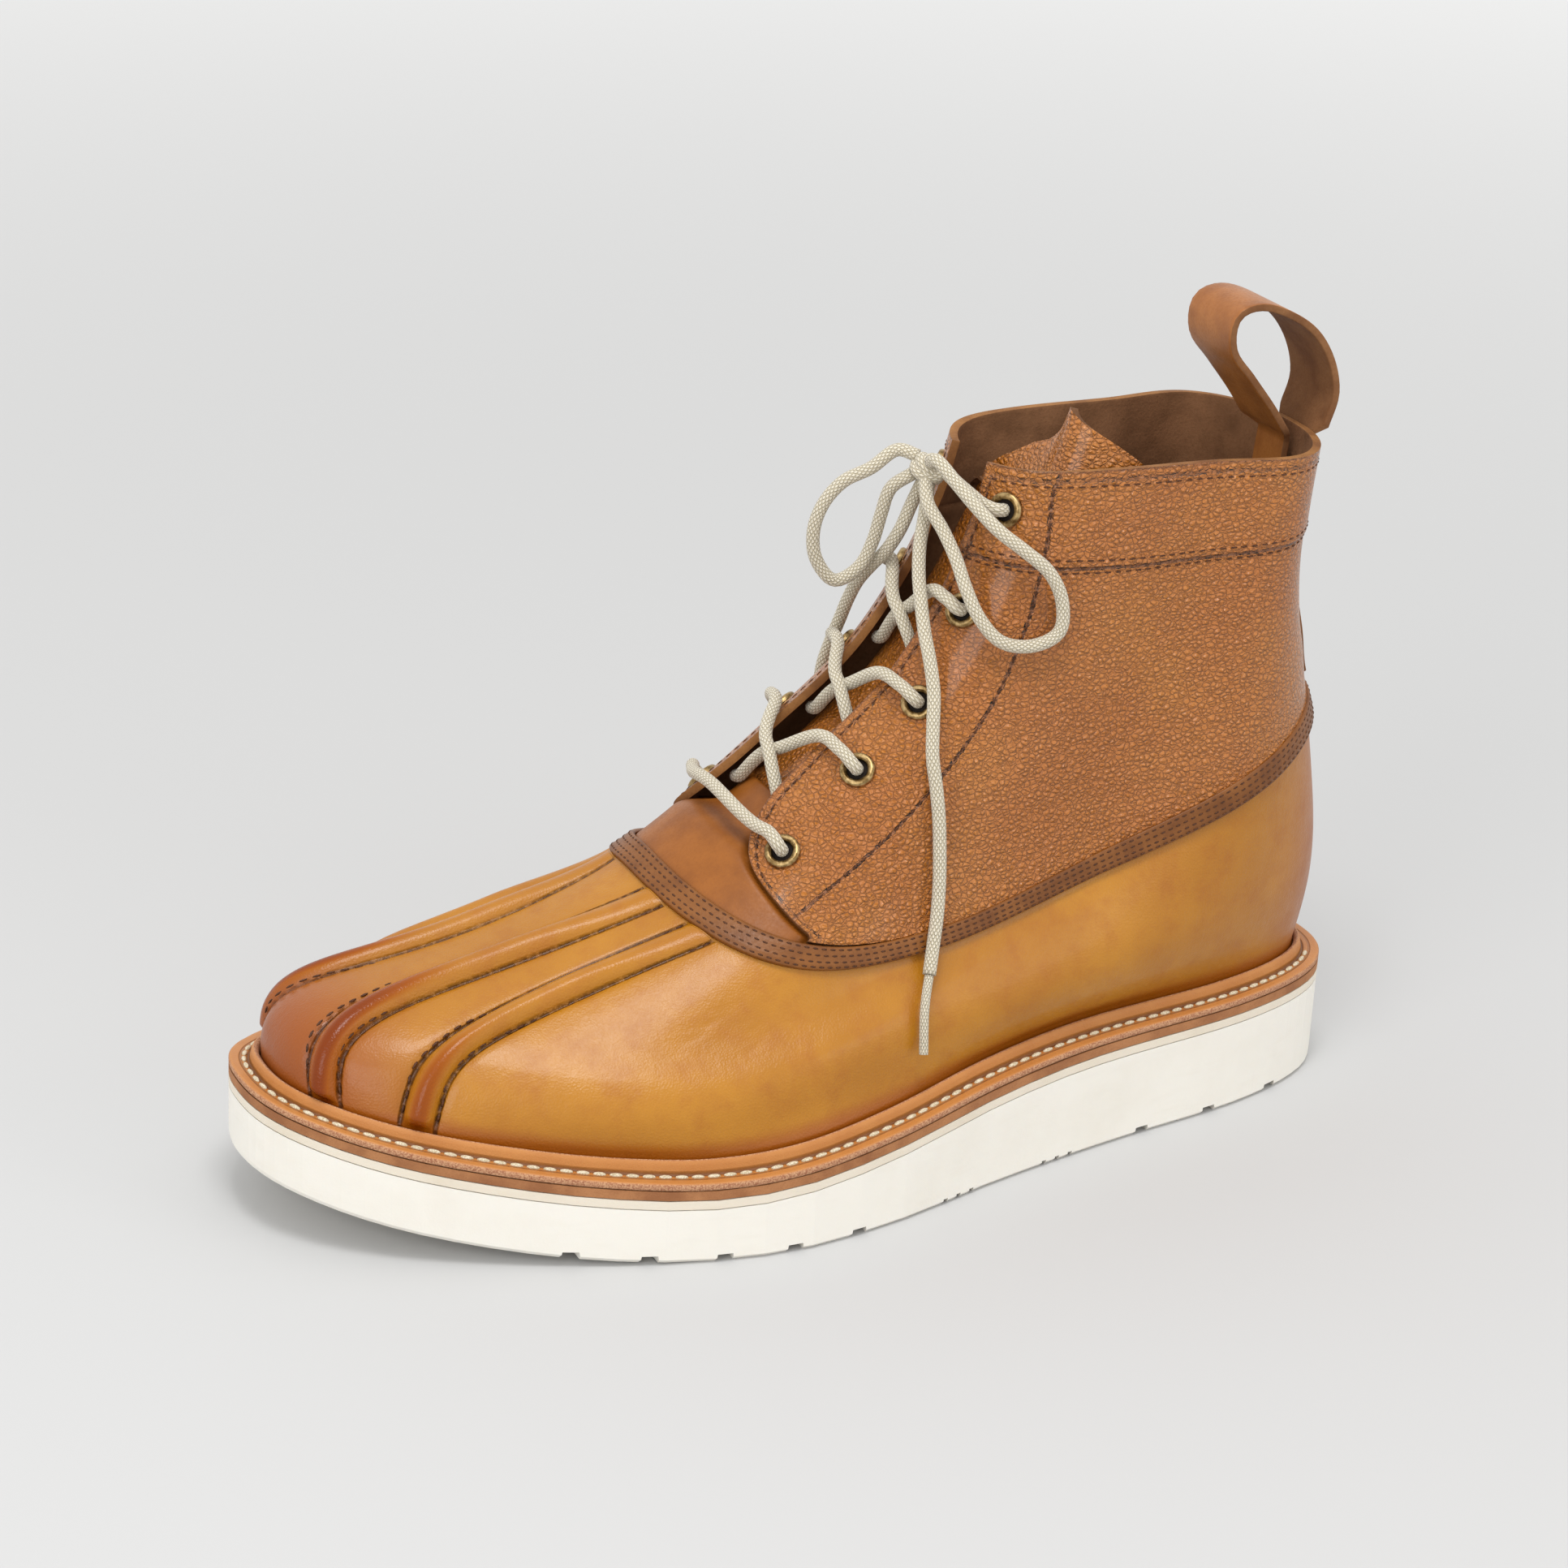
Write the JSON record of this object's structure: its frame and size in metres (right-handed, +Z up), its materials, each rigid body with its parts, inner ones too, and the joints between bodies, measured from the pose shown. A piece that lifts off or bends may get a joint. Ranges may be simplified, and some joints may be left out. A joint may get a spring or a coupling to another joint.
{
  "type": "duck boot",
  "caption": "Ankle-high lace-up duck boot for the left foot, smooth lower shell, grained shaft, thick wedge sole.",
  "frame": {"origin": "on the floor, under the middle of the sole's length and width", "axes": "+X towards the heel, +Y towards the inner side of the foot, +Z up"},
  "size_m": [0.312, 0.1219, 0.2176],
  "materials": {
    "outsole": "matte white rubber",
    "foam": "matte cream foam rubber",
    "raw_edge": "raw trimmed leather edge",
    "welt": "waxed leather",
    "insole": "plain leather",
    "upper": "burnished tan leather",
    "tongue": "brown leather",
    "eyelet": "antique brass",
    "lace": "round braided cotton"
  },
  "bodies": {
    "root": {"outsole": "outsole", "foam_midsole": "foam", "midsole": "raw_edge", "welt": "welt", "insole": "insole", "upper": "upper", "tongue": "tongue", "pull_loop": "upper", "eyelet_lateral_1": "eyelet", "eyelet_medial_1": "eyelet", "eyelet_lateral_2": "eyelet", "eyelet_medial_2": "eyelet", "eyelet_lateral_3": "eyelet", "eyelet_medial_3": "eyelet", "eyelet_lateral_4": "eyelet", "eyelet_medial_4": "eyelet", "eyelet_lateral_5": "eyelet", "eyelet_medial_5": "eyelet", "lace_cross_1": "lace", "lace_cross_2": "lace", "lace_cross_3": "lace", "lace_bar": "lace", "lace_knot": "lace", "lace_loop_lateral": "lace", "lace_loop_medial": "lace", "lace_end_lateral": "lace", "lace_end_medial": "lace", "lace_tip_lateral": "lace", "lace_tip_medial": "lace"}
  },
  "joints": []
}
